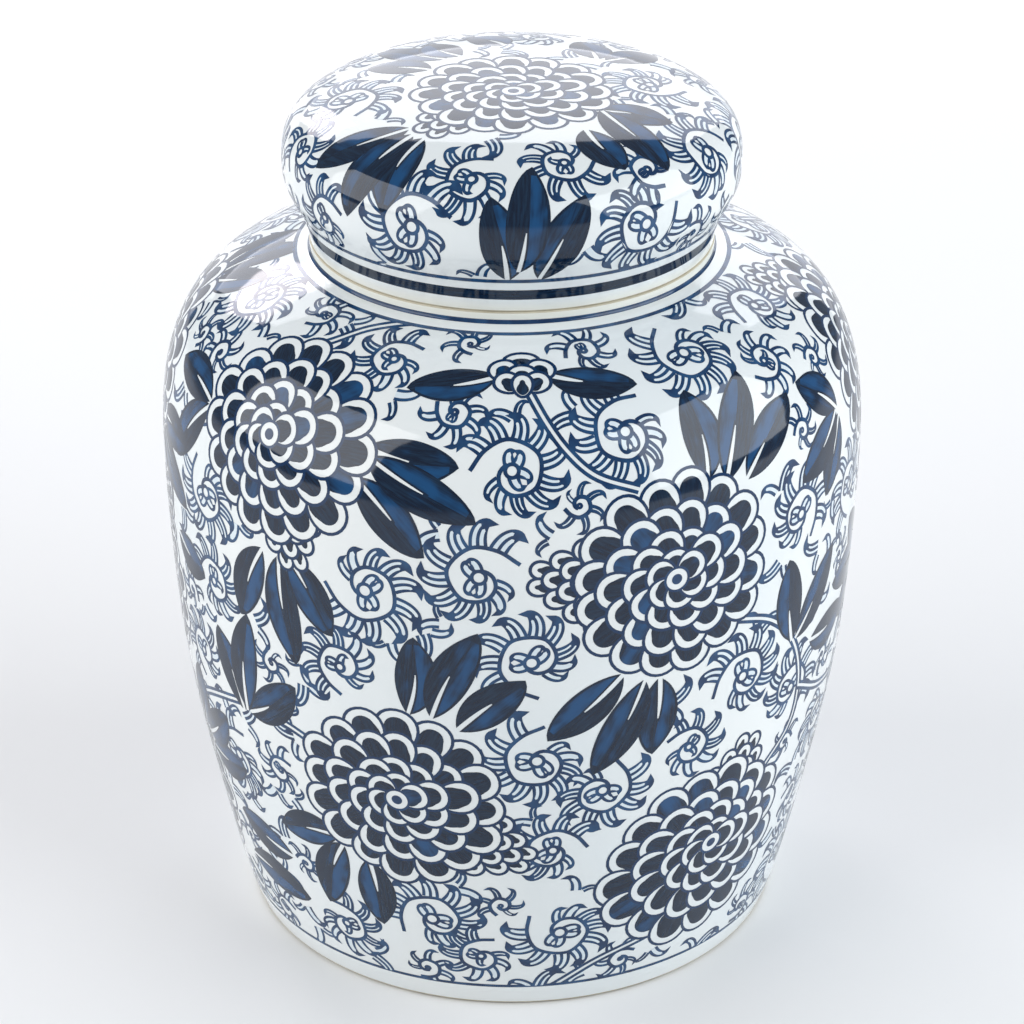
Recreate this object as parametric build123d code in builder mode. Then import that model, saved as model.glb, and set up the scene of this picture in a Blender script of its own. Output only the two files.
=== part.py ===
"""Ginger jar: a lidded porcelain jar, thrown as two loose pieces, the jar body and its lid.

Both are solids of revolution about Z. The jar stands on the ring of its foot at Z = 0, and its walls
swell to a high, rounded shoulder and close to a short neck. The lid is a hollow dome. Its foot rests
on the flat rim of the neck, and a locating flange under it drops into the mouth with room to spare,
so the lid lifts straight off and can be turned on its seat. All sizes are in millimetres.
"""

import os
from math import cos, radians, sin

from build123d import *

# Driving dimensions of the jar body
BODY_RADIUS = 100.0
FOOT_RADIUS = 78.5
SHOULDER_TOP = 204.5
NECK_START = 205.5
NECK_RADIUS = 56.8
RIM_HEIGHT = 208.0
WALL = 5.0
WALL_TOE = 1.0
FLOOR_HEIGHT = 9.0
FOOT_RECESS = 3.0
FOOT_RING_WIDTH = 8.0
MOUTH_RADIUS = 48.0
MOUTH_DEPTH = 10.0

# Driving dimensions of the lid
LID_RADIUS = 63.8
LID_WIDEST_HEIGHT = 230.2
LID_TOP = 252.5
LID_SQUARENESS = 3.05
LID_FOOT_RADIUS = 56.6
LID_WALL = 4.5
FLANGE_CLEARANCE = 1.0
FLANGE_WALL = 4.0
FLANGE_DEPTH = 9.0
FLANGE_ROOT_DROP = 2.0

# Small edge roundings that the glaze leaves
RIM_EDGE = 0.5
MOUTH_EDGE = 1.5
FLOOR_CORNER = 6.0
FOOT_EDGE = 1.2
FOOT_INNER_EDGE = 1.0
FLANGE_EDGE = 1.0

# Outside of the jar from just above the foot to the root of the neck, as (radius, height)
BODY_OUTLINE = [
    (80.6, 6.0),
    (88.5, 40.0),
    (95.8, 80.0),
    (99.2, 120.0),
    (BODY_RADIUS, 149.0),
    (98.0, 170.5),
    (89.6, 188.5),
    (76.0, 198.0),
    (NECK_RADIUS + 0.8, SHOULDER_TOP),
]
BODY_START = (0.28, 1.0)
BODY_END = (-1.0, 0.3)

# Outside of the lid from its foot up to its widest ring
LID_LOWER_OUTLINE = [
    (LID_FOOT_RADIUS, RIM_HEIGHT),
    (59.3, 217.8),
    (LID_RADIUS, LID_WIDEST_HEIGHT),
]

# Turns, from the widest ring at 0 to the top at 90, of the points the lid's crown runs through
CROWN_TURNS = [*range(0, 85, 6), 87, 89]

# Where the inner walls follow the outside, as fractions along the outside curves
BODY_STATIONS = [0.9, 0.84, 0.78, 0.7, 0.58, 0.44, 0.3, 0.16, 0.05]
CROWN_STATIONS = [1.0, 0.86, 0.72, 0.58, 0.46, 0.34, 0.22, 0.1]
LID_LOWER_STATIONS = [0.95, 0.72, 0.48, 0.3]


def dome_point(turn):
    """A point of the lid's crown, a superellipse from the widest ring, at turn 0, to the top, at 90."""
    across = cos(radians(turn)) ** (2 / LID_SQUARENESS)
    up = sin(radians(turn)) ** (2 / LID_SQUARENESS)
    return (LID_RADIUS * across, LID_WIDEST_HEIGHT + (LID_TOP - LID_WIDEST_HEIGHT) * up)


def inset(curve, wall, fractions):
    """Points a wall's thickness inside a curve that runs upwards, at these fractions of its length."""
    points = []
    for fraction in fractions:
        along = curve % fraction
        points.append(curve @ fraction + Vector(-along.Y, along.X) * wall)
    return points


def circle_at(builder, radius, height):
    """The circular edge of a turned part with this radius and height."""
    circles = builder.edges().filter_by(GeomType.CIRCLE)
    level = circles.filter_by_position(Axis.Z, height - 0.01, height + 0.01)
    return min(level, key=lambda edge: abs(edge.radius - radius))


# Jar body
with BuildPart() as jar_body:
    with BuildSketch(Plane.XZ):
        with BuildLine():
            outside = Spline(*BODY_OUTLINE, tangents=[BODY_START, BODY_END])
            neck_root = TangentArc(outside @ 1, (NECK_RADIUS, NECK_START), tangent=outside % 1)
            Polyline(
                neck_root @ 1,
                (NECK_RADIUS, RIM_HEIGHT),
                (MOUTH_RADIUS, RIM_HEIGHT),
                (MOUTH_RADIUS, RIM_HEIGHT - MOUTH_DEPTH),
            )
            inside = Spline(
                (MOUTH_RADIUS, RIM_HEIGHT - MOUTH_DEPTH),
                *inset(outside, WALL, BODY_STATIONS),
            )
            wall_foot = inside @ 1
            Polyline(
                wall_foot,
                (wall_foot.X - WALL_TOE, FLOOR_HEIGHT),
                (0, FLOOR_HEIGHT),
                (0, FOOT_RECESS),
                (FOOT_RADIUS - FOOT_RING_WIDTH, FOOT_RECESS),
                (FOOT_RADIUS - FOOT_RING_WIDTH, 0),
                (FOOT_RADIUS, 0),
                outside @ 0,
            )
        make_face()
    revolve(axis=Axis.Z)
    fillet(circle_at(jar_body, NECK_RADIUS, RIM_HEIGHT), RIM_EDGE)
    fillet(circle_at(jar_body, MOUTH_RADIUS, RIM_HEIGHT), MOUTH_EDGE)
    fillet(circle_at(jar_body, MOUTH_RADIUS, RIM_HEIGHT - MOUTH_DEPTH), MOUTH_EDGE)
    fillet(circle_at(jar_body, FOOT_RADIUS, 0), FOOT_EDGE)
    fillet(circle_at(jar_body, FOOT_RADIUS - FOOT_RING_WIDTH, 0), FOOT_INNER_EDGE)
    fillet(circle_at(jar_body, wall_foot.X - WALL_TOE, FLOOR_HEIGHT), FLOOR_CORNER)

# Lid
with BuildPart() as lid:
    with BuildSketch(Plane.XZ):
        with BuildLine():
            lower = Spline(*LID_LOWER_OUTLINE, tangents=[(0.12, 1.0), (0.0, 1.0)])
            dome = Spline(
                *[dome_point(turn) for turn in CROWN_TURNS],
                (0, LID_TOP),
                tangents=[(0.0, 1.0), (-1.0, 0.0)],
                tangent_scalars=[1.0, 1.0],
            )
            flange_outer = MOUTH_RADIUS - FLANGE_CLEARANCE
            flange_inner = flange_outer - FLANGE_WALL
            flange_bottom = RIM_HEIGHT - FLANGE_DEPTH
            Line((0, LID_TOP), (0, LID_TOP - LID_WALL))
            hollow = Spline(
                *inset(dome, LID_WALL, CROWN_STATIONS),
                *inset(lower, LID_WALL, LID_LOWER_STATIONS),
                tangents=[(1.0, 0.0), (-0.3, -1.0)],
            )
            throat = hollow @ 1
            Polyline(
                throat,
                (flange_inner, throat.Y - FLANGE_ROOT_DROP),
                (flange_inner, flange_bottom),
                (flange_outer, flange_bottom),
                (flange_outer, RIM_HEIGHT),
                lower @ 0,
            )
        make_face()
    revolve(axis=Axis.Z)
    fillet(circle_at(lid, LID_FOOT_RADIUS, RIM_HEIGHT), RIM_EDGE)
    fillet(circle_at(lid, flange_outer, flange_bottom), FLANGE_EDGE)
    fillet(circle_at(lid, flange_inner, flange_bottom), FLANGE_EDGE)

for part, name in ((jar_body.part, "jar_body"), (lid.part, "lid")):
    part.label = name

os.makedirs("parts", exist_ok=True)
export_step(jar_body.part, "parts/jar_body.step")
export_step(lid.part, "parts/lid.step")
print("jar body volume", round(jar_body.part.volume / 1000, 1), "cm3")
print("lid volume", round(lid.part.volume / 1000, 1), "cm3")
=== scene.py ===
"""Blender scene of a ginger jar: a glazed porcelain jar and its lid, with blue painting under the glaze.

The jar and the lid are turned again, finely, from the CAD nodes' own outlines. The painting is drawn in code
as flat shapes in millimetres, laid onto the turned surfaces along their straightest lines, and cut into one
layer of blue patches a hair above the glaze. Lengths are in millimetres until a mesh is made, in metres.
Azimuth is in degrees from the front, -Y, and grows to the right as the front is seen.
"""

import math
import random
from collections import namedtuple

import bpy
import numpy as np
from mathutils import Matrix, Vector
from mathutils.geometry import delaunay_2d_cdt
from mathutils.kdtree import KDTree


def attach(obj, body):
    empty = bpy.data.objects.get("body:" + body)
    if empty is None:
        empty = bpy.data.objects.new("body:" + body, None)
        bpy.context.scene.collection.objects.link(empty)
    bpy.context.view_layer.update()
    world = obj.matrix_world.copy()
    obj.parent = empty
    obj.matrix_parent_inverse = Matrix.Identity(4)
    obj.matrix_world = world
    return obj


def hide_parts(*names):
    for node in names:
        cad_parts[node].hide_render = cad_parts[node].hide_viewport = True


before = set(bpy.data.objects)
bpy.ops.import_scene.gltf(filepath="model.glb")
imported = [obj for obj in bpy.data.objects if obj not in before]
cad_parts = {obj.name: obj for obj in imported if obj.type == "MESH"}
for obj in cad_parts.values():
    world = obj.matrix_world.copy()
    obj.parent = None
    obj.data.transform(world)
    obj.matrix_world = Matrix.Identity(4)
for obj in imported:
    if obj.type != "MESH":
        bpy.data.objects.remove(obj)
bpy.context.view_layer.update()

MM = 0.001
rng = random.Random(7)


# ---- turned surfaces

# spacing of a curved stretch's points, and the number of steps on a bridged flat one
OUTLINE_STEP, FLAT_STEPS = 0.6, 8
TURN_SEGMENTS = 288
SHARP_ANGLE = math.radians(32)
# how near counts as the same height or on the axis, in mm, and as in the half plane, in metres
SAME_PLACE, ON_PLANE = 0.01, 1e-7
# steps in which a drawing is laid out from its origin
SPREAD_STEPS = 16


def seam_segments(mesh):
    """The node's edges in its own half plane y = 0, x > 0, with the surface normals at their ends."""
    corner_normals = mesh.corner_normals
    segments = {}
    for face in mesh.polygons:
        loops = list(face.loop_indices)
        for here, there in zip(loops, loops[1:] + loops[:1]):
            a, b = (mesh.vertices[mesh.loops[k].vertex_index].co for k in (here, there))
            if max(abs(a.y), abs(b.y)) > ON_PLANE or min(a.x, b.x) < -ON_PLANE:
                continue
            ends = tuple((round(p.x / MM, 4), round(p.z / MM, 4)) for p in (a, b))
            if ends[0] == ends[1]:
                continue
            normals = [corner_normals[k].vector for k in (here, there)]
            flat = [(n.x, n.z) for n in normals]
            segments[ends] = flat
            segments[ends[::-1]] = flat[::-1]
    return segments


def hermite(t, start, end, leaving, arriving, scale=1.0):
    """Points, at t from 0 to 1, of the cubic curve between two points with these tangents."""
    return (
        (2 * t**3 - 3 * t**2 + 1) * start
        + (t**3 - 2 * t**2 + t) * scale * leaving
        + (3 * t**2 - 2 * t**3) * end
        + (t**3 - t**2) * scale * arriving
    )


def filled(a, b, normals):
    """Points from a to b on the curve that leaves and meets them square to the surface normals."""
    a, b = np.array(a), np.array(b)
    chord = b - a
    length = np.hypot(*chord)
    tangents = []
    for n in normals:
        t = np.array([-n[1], n[0]])
        t = t if t @ chord > 0 else -t
        tangents.append(t / np.hypot(*t) * length)
    count = max(1, math.ceil(length / OUTLINE_STEP))
    t = (np.arange(count) / count)[:, None]
    return hermite(t, a, b, *tangents)


def outline(node):
    """A turned node's section as one chain of (radius, height) points, in mm, from axis to axis."""
    segments = seam_segments(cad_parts[node].data)
    links = {}
    for a, b in segments:
        links.setdefault(a, []).append(b)
    ends = [p for p in links if len(links[p]) == 1]
    runs = []
    while ends:
        run = [ends.pop()]
        while True:
            onward = [q for q in links[run[-1]] if len(run) < 2 or q != run[-2]]
            if not onward:
                break
            run.append(onward[0])
        ends.remove(run[-1])
        runs.append(run)
    runs.sort(key=len)
    chain = runs.pop()
    while runs:
        # a flat face at one height bridges the gap between two runs
        options = []
        for run in runs:
            for mine in (0, -1):
                for theirs in (0, -1):
                    if abs(run[theirs][1] - chain[mine][1]) < SAME_PLACE:
                        options.append((abs(run[theirs][0] - chain[mine][0]), mine, theirs, run))
        _, mine, theirs, run = min(options, key=lambda option: option[0])
        runs.remove(run)
        if mine == -1:
            chain = chain + (run if theirs == 0 else run[::-1])
        else:
            chain = (run if theirs == -1 else run[::-1]) + chain
    if chain[0][1] < chain[-1][1]:
        chain = chain[::-1]
    points = []
    if chain[0][0] > SAME_PLACE:
        points.append(np.array([[0.0, chain[0][1]]]))
    for a, b in zip(chain, chain[1:]):
        normals = segments.get((a, b))
        if normals is None:
            points.append(np.linspace(a, b, FLAT_STEPS, endpoint=False))
        else:
            points.append(filled(a, b, normals))
    points.append(np.array([chain[-1]]))
    if chain[-1][0] > SAME_PLACE:
        points.append(np.array([[0.0, chain[-1][1]]]))
    return np.vstack(points)


class Turned:
    """The painted outside of a turned piece, by the length down it from its top.

    On the flat chart that the painting is cut on, the length down the outside, with margin added, is the
    distance from the middle, and the azimuth is the direction.
    """

    def __init__(self, profile, margin):
        self.radius, self.height = profile.T
        self.down = np.r_[0, np.cumsum(np.hypot(*np.diff(profile, axis=0).T))] + margin
        slope = np.gradient(profile, self.down, axis=0)
        self.widening = slope[:, 0]
        self.falling = slope[:, 1]

    def at(self, down, values):
        """A property of the surface at lengths down it."""
        return np.interp(down, self.down, values)

    def down_to(self, height):
        """The length down the outside at a height."""
        return float(np.interp(-height, -self.height, self.down))

    def points(self, azimuth, down, lift=0.0):
        """Positions in mm at azimuths in radians, this far off the surface, and the surface normals."""
        radius, height = self.at(down, self.radius), self.at(down, self.height)
        out, up = -self.at(down, self.falling), self.at(down, self.widening)
        size = np.hypot(out, up)
        out, up = out / size, up / size
        radius = radius + lift * out
        height = height + lift * up
        east, north = np.sin(azimuth), -np.cos(azimuth)
        place = np.stack([radius * east, radius * north, height], -1)
        return place, np.stack([out * east, out * north, up], -1)

    def spread(self, azimuth, down, flat):
        """Chart points of a flat drawing laid on the surface about a point, along the straightest lines."""
        flat = np.asarray(flat, float)
        distance = np.hypot(*flat.T)
        bearing = np.arctan2(flat[:, 0], -flat[:, 1])
        az = np.full(len(flat), float(azimuth))
        s = np.full(len(flat), float(down))
        h = distance / SPREAD_STEPS
        for _ in range(SPREAD_STEPS):
            r, k = self.at(s, self.radius), self.at(s, self.widening)
            s_mid = s + 0.5 * h * np.cos(bearing)
            bearing_mid = bearing - 0.5 * h * k * np.sin(bearing) / r
            r, k = self.at(s_mid, self.radius), self.at(s_mid, self.widening)
            az = az + h * np.sin(bearing_mid) / r
            s = s + h * np.cos(bearing_mid)
            bearing = bearing - h * k * np.sin(bearing_mid) / r
        return chart(az, s)


def chart(azimuth, down):
    """Chart points for azimuths in radians and lengths down the surface."""
    return np.stack([down * np.sin(azimuth), -down * np.cos(azimuth)], -1)


def unchart(x, y):
    """The azimuth in degrees and the length down the surface of a chart point."""
    return math.degrees(math.atan2(x, -y)), math.hypot(x, y)


def put(name, data):
    """A new object in the scene."""
    obj = bpy.data.objects.new(name, data)
    bpy.context.scene.collection.objects.link(obj)
    return obj


def new_mesh(name, vertices, faces, materials):
    """A smooth mesh object, in metres, from vertices in mm."""
    mesh = bpy.data.meshes.new(name)
    mesh.from_pydata((np.asarray(vertices) * MM).tolist(), [], faces)
    mesh.polygons.foreach_set("use_smooth", [True] * len(faces))
    for material in materials:
        mesh.materials.append(material)
    return put(name, mesh)


def turn(name, section, materials, material_of, body, node, slot):
    """Turns a section about the axis into a mesh that replaces a CAD node."""
    inner = section[1:-1]
    angles = np.arange(TURN_SEGMENTS) * 2 * math.pi / TURN_SEGMENTS
    ring_x, ring_y = np.sin(angles), -np.cos(angles)
    rings = np.stack(
        [
            inner[:, :1] * ring_x,
            inner[:, :1] * ring_y,
            np.repeat(inner[:, 1:], TURN_SEGMENTS, axis=1),
        ],
        -1,
    )
    vertices = np.vstack([rings.reshape(-1, 3), [[0, 0, section[0, 1]], [0, 0, section[-1, 1]]]])
    top, bottom = len(vertices) - 2, len(vertices) - 1
    around = np.arange(TURN_SEGMENTS)
    after = (around + 1) % TURN_SEGMENTS
    faces = []
    for row in range(len(inner) - 1):
        a = row * TURN_SEGMENTS
        b = a + TURN_SEGMENTS
        faces += np.stack([a + around, b + around, b + after, a + after], -1).tolist()
    last = (len(inner) - 1) * TURN_SEGMENTS
    faces += [[top, int(i), int(j)] for i, j in zip(around, after)]
    faces += [[bottom, int(last + j), int(last + i)] for i, j in zip(around, after)]
    obj = new_mesh(name, vertices, faces, materials)
    mesh = obj.data
    mesh.set_sharp_from_angle(angle=SHARP_ANGLE)
    centres = np.zeros(len(mesh.polygons) * 3)
    mesh.polygons.foreach_get("center", centres)
    centres = centres.reshape(-1, 3) / MM
    chosen = material_of(np.hypot(centres[:, 0], centres[:, 1]), centres[:, 2])
    mesh.polygons.foreach_set("material_index", chosen.astype(int).tolist())
    uv_of_turned(mesh, section)
    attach(obj, body)
    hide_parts(node)


def uv_of_turned(mesh, section):
    """Unrolls a turned mesh, in the order of its faces: azimuth across, length along the section up."""
    along = np.r_[0, np.cumsum(np.hypot(*np.diff(section, axis=0).T))]
    along = along / along[-1]
    left = np.arange(TURN_SEGMENTS)
    right, middle = left + 1, left + 0.5
    rows = np.stack([along[1:-2], along[2:-1], along[2:-1], along[1:-2]], -1)
    u = np.concatenate([
        np.tile(np.stack([left, left, right, right], -1).ravel(), len(rows)),
        np.stack([middle, left, right], -1).ravel(),
        np.stack([middle, right, left], -1).ravel(),
    ]) / TURN_SEGMENTS
    v = np.concatenate([
        np.repeat(rows, TURN_SEGMENTS, axis=0).ravel(),
        np.tile(along[[0, 1, 1]], TURN_SEGMENTS),
        np.tile(along[[-1, -2, -2]], TURN_SEGMENTS),
    ])
    layer = mesh.uv_layers.new(name="OFBake")
    layer.data.foreach_set("uv", np.stack([u * 0.98 + 0.01, v * 0.98 + 0.01], -1).ravel())


# ---- flat shapes

# tones of the shapes: bare glaze, pen line, brushed fill and pale tint
WHITE, LINE, FILL, PALE = range(4)
PEN = 1.06
# how much wider a petal is towards its tip, and the number of points round it
BLUNT, EGG_POINTS = 0.14, 26
STEM_WIDTH, LEAF_WIDTH = 2.9, 12.0

Shape = namedtuple("Shape", "tone points shade heading")


def smooth(points, count):
    """A smooth curve through the points, as evenly spaced samples."""
    p = np.asarray(points, float)
    t = np.r_[0, np.cumsum(np.hypot(*np.diff(p, axis=0).T) ** 0.5)]
    tangent = np.gradient(p, t, axis=0)
    fine = np.linspace(0, t[-1], max(200, 3 * count))
    i = np.clip(np.searchsorted(t, fine, side="right") - 1, 0, len(t) - 2)
    h = (t[i + 1] - t[i])[:, None]
    x = (fine - t[i])[:, None] / h
    curve = hermite(x, p[i], p[i + 1], tangent[i], tangent[i + 1], h)
    length = np.r_[0, np.cumsum(np.hypot(*np.diff(curve, axis=0).T))]
    at = np.linspace(0, length[-1], count)
    return np.stack([np.interp(at, length, curve[:, 0]), np.interp(at, length, curve[:, 1])], -1)


def sideways(path):
    """The unit direction to the left of a path at each of its points."""
    d = np.gradient(path, axis=0)
    d /= np.hypot(*d.T)[:, None]
    return np.stack([-d[:, 1], d[:, 0]], -1)


def stroke(path, width):
    """The outline of a line drawn along a path, with one width or a width for each point."""
    side = sideways(path) * (np.broadcast_to(width, len(path)) / 2)[:, None]
    return np.vstack([path + side, (path - side)[::-1]])


def polar(radius, degrees):
    """The offset at a distance in a direction, in degrees from +x towards +y."""
    a = np.radians(degrees)
    return np.stack([radius * np.cos(a), radius * np.sin(a)], -1)


def moved(shapes, x=0.0, y=0.0, degrees=0.0, mirror=False):
    """The shapes mirrored left to right, turned and shifted, in that order."""
    a = math.radians(degrees)
    matrix = np.array([[math.cos(a), math.sin(a)], [-math.sin(a), math.cos(a)]])
    result = []
    for shape in shapes:
        points, heading = shape.points, shape.heading
        if mirror:
            points = points * (-1, 1)
            heading = 180 - heading
        result.append(shape._replace(points=points @ matrix + (x, y), heading=heading + degrees))
    return result


def egg(centre, length, width):
    """A closed rounded shape about a point on the y axis, blunter towards +y."""
    t = np.radians(np.arange(EGG_POINTS) * 360 / EGG_POINTS)
    across = width / 2 * np.sin(t) * (1 + BLUNT * np.cos(t))
    return np.stack([across, centre + length / 2 * np.cos(t)], -1)


def petal(width, length, rim, shade):
    """A scale-shaped petal with its tip at the origin, pointing to +y: pen line, white rim, dark fill."""
    pen = 0.84 * PEN
    outer = egg(-length / 2, length, width)
    white = egg(-length / 2, length - 2 * pen, width - 2 * pen)
    # the white is a crescent: it thins from the tip of the petal round to its sides
    t = np.radians(np.arange(30) * 12.0)
    turned = np.minimum(t, 2 * math.pi - t)
    inset = rim * np.clip((2.25 - turned) / 0.9, 0.12, 1.0)
    across = (width / 2 - pen - inset) * np.sin(t) * (1 + BLUNT * np.cos(t))
    inner = np.stack([across, -length / 2 + (length / 2 - pen - inset) * np.cos(t)], -1)
    return [
        Shape(LINE, outer, 0.0, 90),
        Shape(WHITE, white, 0.5, 90),
        Shape(FILL, inner, shade, 90),
    ]


def petal_ring(count, tip_radius, width, length, start, rim, middle):
    """Petals side by side on a circle about a middle point."""
    shapes = []
    for k in range(count):
        angle = start + 360 * (k + 0.5) / count + rng.uniform(-2.0, 2.0)
        reach = tip_radius * (1 + rng.uniform(-0.035, 0.035))
        shade = rng.uniform(0.7, 1.0) if rng.random() < 0.16 else rng.uniform(0.0, 0.4)
        one = petal(width * rng.uniform(0.96, 1.05), length, rim, shade)
        x, y = polar(reach, angle) + middle
        shapes += moved(one, x, y, angle - 90)
    return shapes


# rings of a flower from the outside in, for the standard radius: petals, radius of tips, width, length, rim
FLOWER_RADIUS = 29.0
FLOWER_RINGS = (
    (16, FLOWER_RADIUS, 12.0, 13.8, 2.0),
    (14, 21.9, 10.8, 12.8, 1.9),
    (10, 15.0, 10.4, 11.4, 1.8),
    (6, 9.3, 9.2, 9.4, 1.6),
)
RING_TURNS = (8, 0, 14, 30)
TAIL_ROWS = (5, 4, 3, 2)
TAIL_STEP = 3.9
# the eye of a flower, as (tone, radius) of the discs that are drawn over each other
EYE = ((LINE, 3.9), (WHITE, 3.15), (LINE, 1.55))


def flower(radius, lean, tail, tail_start):
    """A chrysanthemum of overlapping scale petals about an eye, with a tail of smaller ones on one side.

    The outer rings lean away from the eye, and the tail starts this far outside the outer ring.
    """
    shapes = []
    k = radius / FLOWER_RADIUS
    lean = np.array(lean, float)
    for row in reversed(range(len(TAIL_ROWS))):
        count = TAIL_ROWS[row]
        reach = radius + tail_start + TAIL_STEP * row
        width = 8.2 - 0.7 * row
        for n in range(count):
            off = (n - (count - 1) / 2) * width * 0.9
            bend = -(abs(off) ** 1.6) * 0.08
            angle = tail + math.degrees(math.atan2(off, reach)) * 0.9
            base = polar(reach + bend, tail) + polar(off, tail + 90) + lean
            one = petal(width, width * 1.25, 1.45, rng.uniform(0, 0.4))
            shapes += moved(one, *base, angle - 90)
    turn = rng.uniform(0, 40)
    for number, (count, tips, width, length, rim) in enumerate(FLOWER_RINGS):
        middle = lean * (tips / FLOWER_RADIUS) ** 1.5
        start = turn + RING_TURNS[number]
        shapes += petal_ring(count, tips * k, width * k, length * k, start, rim, middle)
    circle = np.arange(26) * 360 / 26
    for tone, size in EYE:
        shapes.append(Shape(tone, polar(size, circle), 0.3, 90))
    return shapes


def leaf(length, width, bend):
    """A pointed leaf with its base at the origin, pointing to +y: dark edge and vein, two brushed halves."""
    count = 22
    t = np.linspace(0, 1, count)
    middle = bend * np.sin(t * math.pi * 0.9) - 0.9 * bend * t**2 + 1.6 * math.copysign(1, bend) * t**7
    axis = np.stack([middle, t * length], -1)
    half = width / 2 * 2.93 * t**0.75 * (1 - t) ** 0.8
    half[0], half[-1] = 0.35, 0.0
    side = sideways(axis)
    left = axis + side * half[:, None]
    right = axis - side * half[:, None]
    inset = np.clip(half - 0.75 * PEN, 0, None)[:, None]
    left_in = axis + side * inset
    right_in = axis - side * inset
    keep = slice(1, count - 2)
    vein = axis[count // 3 : count - 2]
    reach = rng.choice((10, 12, 13))
    sliver = smooth(axis[:reach], 14) + smooth(side[:reach], 14) * 0.2
    u = np.linspace(0, 1, len(sliver))
    swell = rng.uniform(1.6, 2.2) * (1 - u) ** 0.75 * (0.45 + u) ** 0.6
    shades = [rng.uniform(0.75, 1.0), rng.uniform(0.1, 0.65)]
    rng.shuffle(shades)
    return [
        Shape(FILL, np.vstack([left[:-1], right[::-1]]), 0.0, 90),
        Shape(FILL, np.vstack([left_in[keep], axis[keep][::-1]]), shades[0], 90),
        Shape(FILL, np.vstack([right_in[keep], axis[keep][::-1]]), shades[1], 90),
        Shape(FILL, stroke(vein, np.linspace(0.85, 0.45, len(vein))), 0.0, 90),
        Shape(FILL, stroke(sliver[1:], swell[1:] + 1.1), 0.0, 90),
        Shape(WHITE, stroke(sliver[:-1], np.clip(swell[:-1], 0.12, None)), 0.5, 90),
    ]


def horn(x, y, heading, length, width, sweep, fingers):
    """One lobe of a scroll: a hook that starts square to a line and bends aside, open into fingers."""
    count = 16
    t = np.linspace(0, 1, count)
    angle = heading + sweep * (26 * t + 72 * t**2.4)
    step = length / (count - 1)
    path = np.vstack([[0, 0], np.cumsum(polar(step, angle[1:]), axis=0)]) + (x, y)
    half = width / 2 * (1 - 0.10 * t) * np.sqrt(np.clip(1 - t**4, 0, None))
    side = sideways(path) * np.sign(sweep)
    # the inner edge stops short of the outer one, which draws the tip out into a point
    outer = path - side * half[:, None]
    inner = path + side * (half * (1 - 0.45 * t**3))[:, None]
    tip = path[-1] + polar(length * 0.20, angle[-1] + sweep * 14)
    body = np.vstack([outer[:-1], [tip], inner[:-2][::-1]])
    if sweep < 0:
        body = body[::-1]
    shapes = [Shape(LINE, body, 0.45, heading)]
    pen = PEN * 0.92
    each = (width - (fingers + 1) * pen) / fingers
    for k in range(fingers):
        shift = -width / 2 + pen + each / 2 + k * (each + pen)
        last = 11 if k < fingers - 1 or fingers == 1 else 10
        scale = half[:last] / (width / 2)
        centre = path[:last] + side[:last] * (shift * scale)[:, None]
        band = stroke(centre, each * scale)
        cap = centre[-1] + polar(each * 0.42, angle[last - 1])
        shapes.append(Shape(PALE, np.vstack([band[:last], [cap], band[last:]]), 0.5, heading))
    return shapes


# the line of a scroll, as (direction, distance from its middle)
WINDING = [
    (0, 11.6), (38, 9.3), (85, 8.8), (150, 8.7), (215, 8.1),
    (265, 6.9), (305, 5.4), (345, 3.7), (385, 2.5), (415, 2.0),
]


def curl(size, horns, inner):
    """A scroll: a line that winds in to a ball, with horns outside it and a few small ones inside."""
    angles, radii = np.array(WINDING, float).T
    radii = radii * size
    path = smooth(polar(radii, angles), int(40 * max(size, 0.6)) + 16)
    shapes = [Shape(WHITE, polar(8.2 * size, np.arange(20) * 18.0), 0.5, 0)]
    first, last = 24, 338
    reach = 0.4 + 0.6 * size
    for k in range(horns):
        at = first + (last - first) * (k + 0.5) / horns + rng.uniform(-3, 3)
        r = float(np.interp(at, angles, radii))
        x, y = polar(r, at)
        length = (8.6 + rng.uniform(-0.6, 0.7)) * reach * float(np.interp(at, [230, 330], [1, 0.74]))
        gap = math.radians((last - first) / horns) * r
        width = min(5.5, gap * 0.9 + 0.6) * (0.25 + 0.75 * min(1.0, reach))
        shapes += horn(x, y, at + 6, length, width, -1, 2 if width > 3.7 else 1)
    for k in range(inner):
        at = 70 + 62 * k + rng.uniform(-8, 8)
        x, y = polar(1.6 * size, at)
        way = -1 if k % 2 else 1
        width = min(3.3, 3.5 * size)
        shapes += horn(x, y, at, 4.9 * size, width, way, 1)
    shapes.append(Shape(LINE, stroke(path, PEN * 1.08), 0.5, 0))
    circle = np.arange(16) * 22.5
    shapes.append(Shape(LINE, polar(2.35 * size + 0.1, circle), 0.5, 0))
    shapes.append(Shape(WHITE, polar(2.35 * size + 0.1 - PEN, circle), 0.5, 0))
    return shapes


def sprig(size):
    """A small hook, open into two fingers when it is large, with a smaller one beside it."""
    fingers = 2 if size > 1.05 else 1
    shapes = horn(-1.0 * size, -4.0 * size, 106, 8.6 * size, 3.7 * size, 1, fingers)
    shapes += horn(1.2 * size, -3.4 * size, 52, 6.0 * size, 2.6 * size, -1, 1)
    return shapes


# petals of a bud, back ones first, as (x, y, width, angle)
BUD_PETALS = (
    (0, 9.0, 10.5, 0),
    (-6.4, 6.2, 8.5, 22), (6.4, 6.2, 8.5, -22), (0, 4.6, 8.6, 0),
    (-7.0, 0.8, 7.6, 50), (7.0, 0.8, 7.6, -50), (0, 1.4, 6.4, 0),
)


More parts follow.
